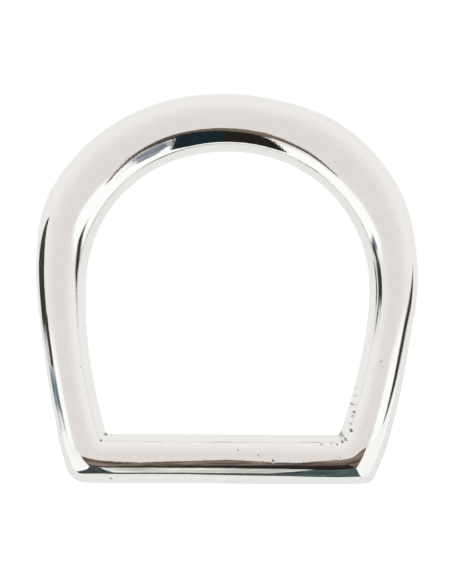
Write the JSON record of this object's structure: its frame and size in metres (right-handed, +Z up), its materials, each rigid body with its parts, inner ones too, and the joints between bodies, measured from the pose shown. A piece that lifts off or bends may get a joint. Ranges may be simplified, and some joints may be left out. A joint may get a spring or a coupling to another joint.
{
  "type": "stirrup iron",
  "caption": "Plain round-bar stirrup iron: an arched bow with inward-curving branches closed by a straight tread, mirror polished.",
  "frame": {"origin": "middle of the object's box in plan, on the underside of the tread", "axes": "+X to the right along the tread, -Y to the front, +Z up from the tread to the crown of the arch"},
  "size_m": [0.1682, 0.0216, 0.1703],
  "materials": {
    "bow_metal": "mirror polished",
    "tread_metal": "mirror polished",
    "left_weld_metal": "dressed flush and polished, fine pores",
    "right_weld_metal": "dressed flush and polished, fine pores"
  },
  "bodies": {
    "root": {"bow": "bow_metal", "tread_bar": "tread_metal", "left_weld": "left_weld_metal", "right_weld": "right_weld_metal"}
  },
  "joints": []
}
